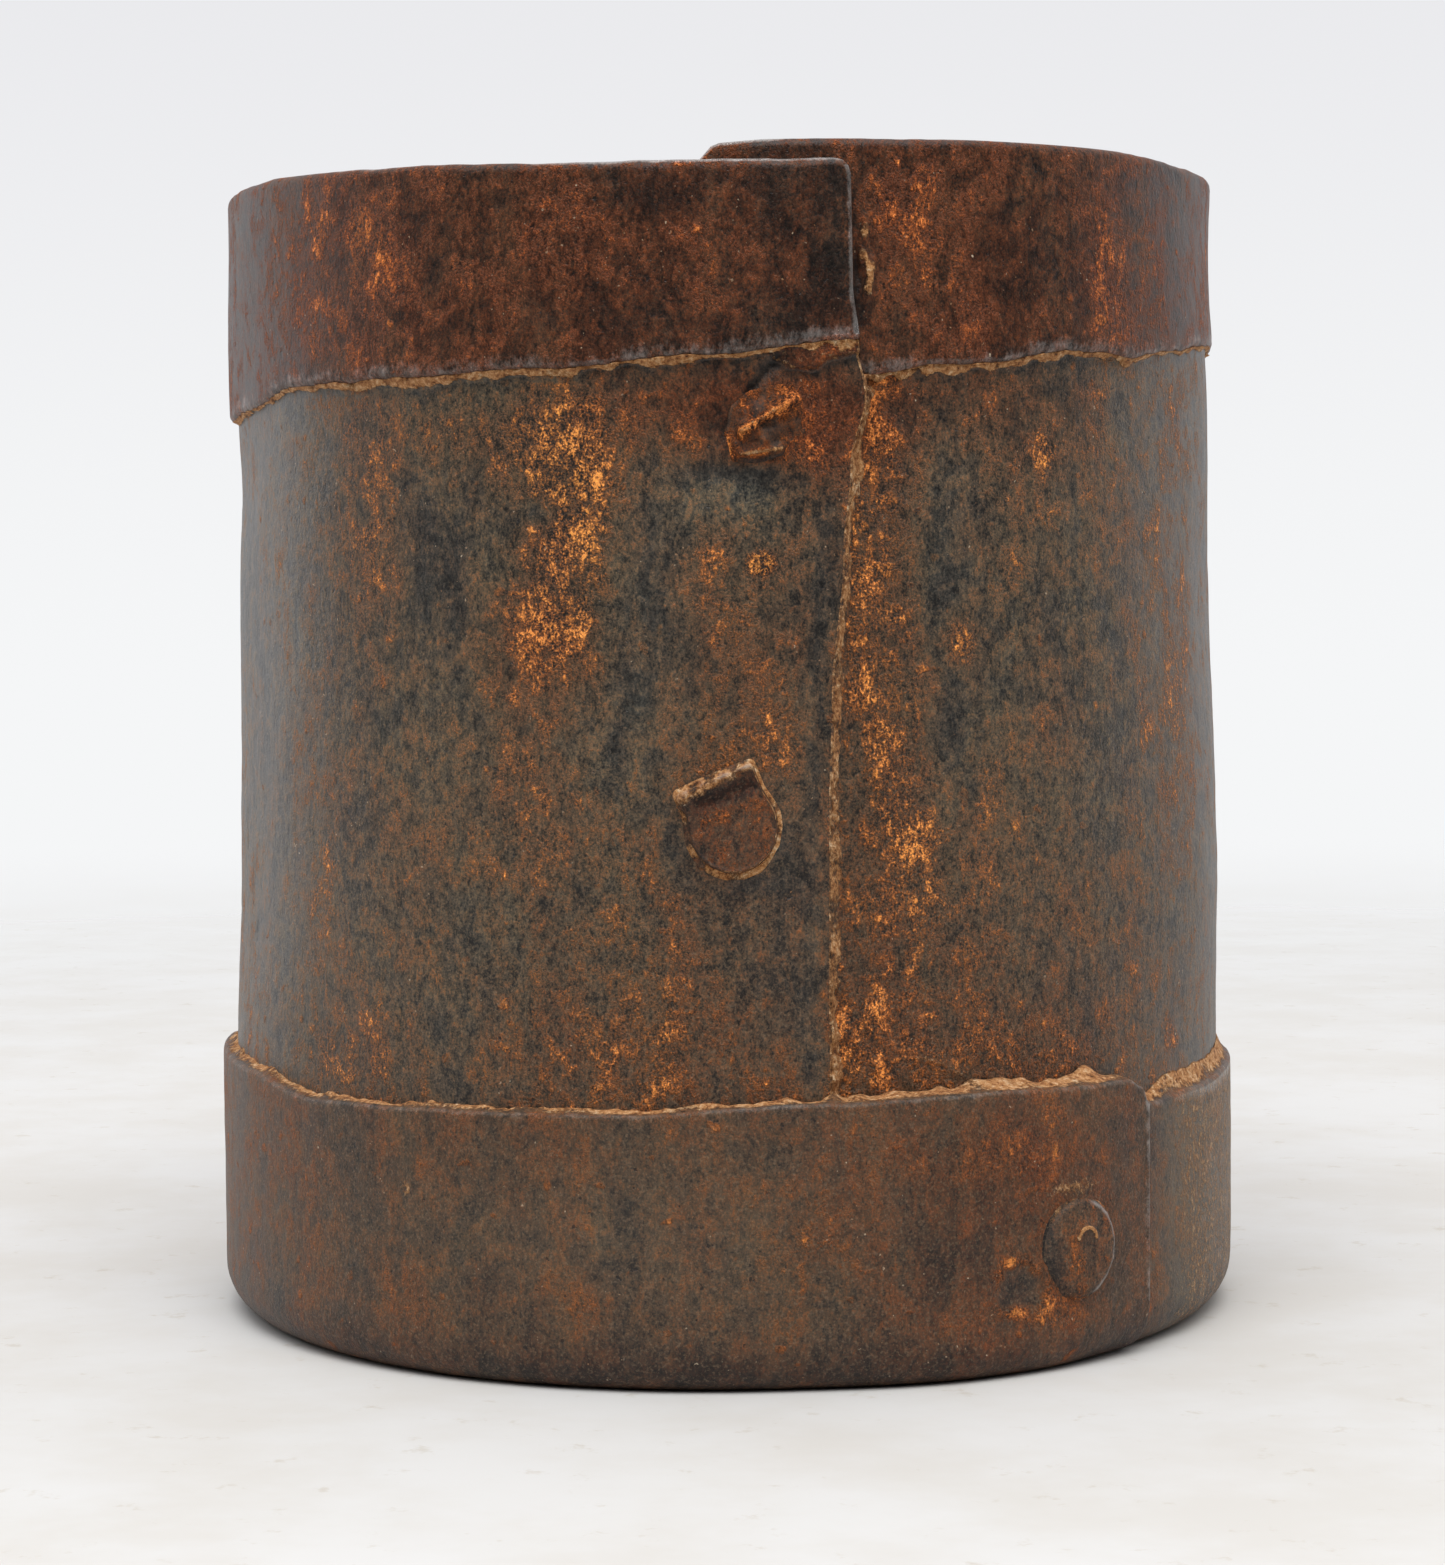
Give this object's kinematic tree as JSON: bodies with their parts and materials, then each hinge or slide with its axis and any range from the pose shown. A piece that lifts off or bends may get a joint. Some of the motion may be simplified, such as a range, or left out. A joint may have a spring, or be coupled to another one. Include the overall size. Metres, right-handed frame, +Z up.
{
  "type": "riveted sheet-iron cup",
  "caption": "Small open-topped cup of riveted sheet iron: lapped round wall with a folded rim hem, round floor plate and riveted foot band. Shakes dice or measures grain.",
  "frame": {"origin": "centre of the underside, on the plane the cup rests on", "axes": "+Z up along the cup's axis, the wall's riveted seam at the front (-Y), +X to the right of someone who faces the seam"},
  "size_m": [0.0852, 0.0852, 0.0931],
  "materials": {
    "wall_iron": "aged wrought sheet iron, dark slate mill scale under mottled brown and orange rust, satin where handled",
    "band_iron": "aged wrought strip iron, red-brown rust patina with worn darker edges",
    "floor_iron": "aged wrought plate iron, dusty brown rust",
    "rivet_iron": "hammered wrought iron, brown rust with bright tan edges"
  },
  "bodies": {
    "root": {"wall_sheet": "wall_iron", "foot_band": "band_iron", "floor_plate": "floor_iron", "seam_rivet_upper": "rivet_iron", "seam_rivet_middle": "rivet_iron", "seam_rivet_lower": "rivet_iron", "band_rivet_front": "rivet_iron", "band_rivet_rear": "rivet_iron"}
  },
  "joints": []
}
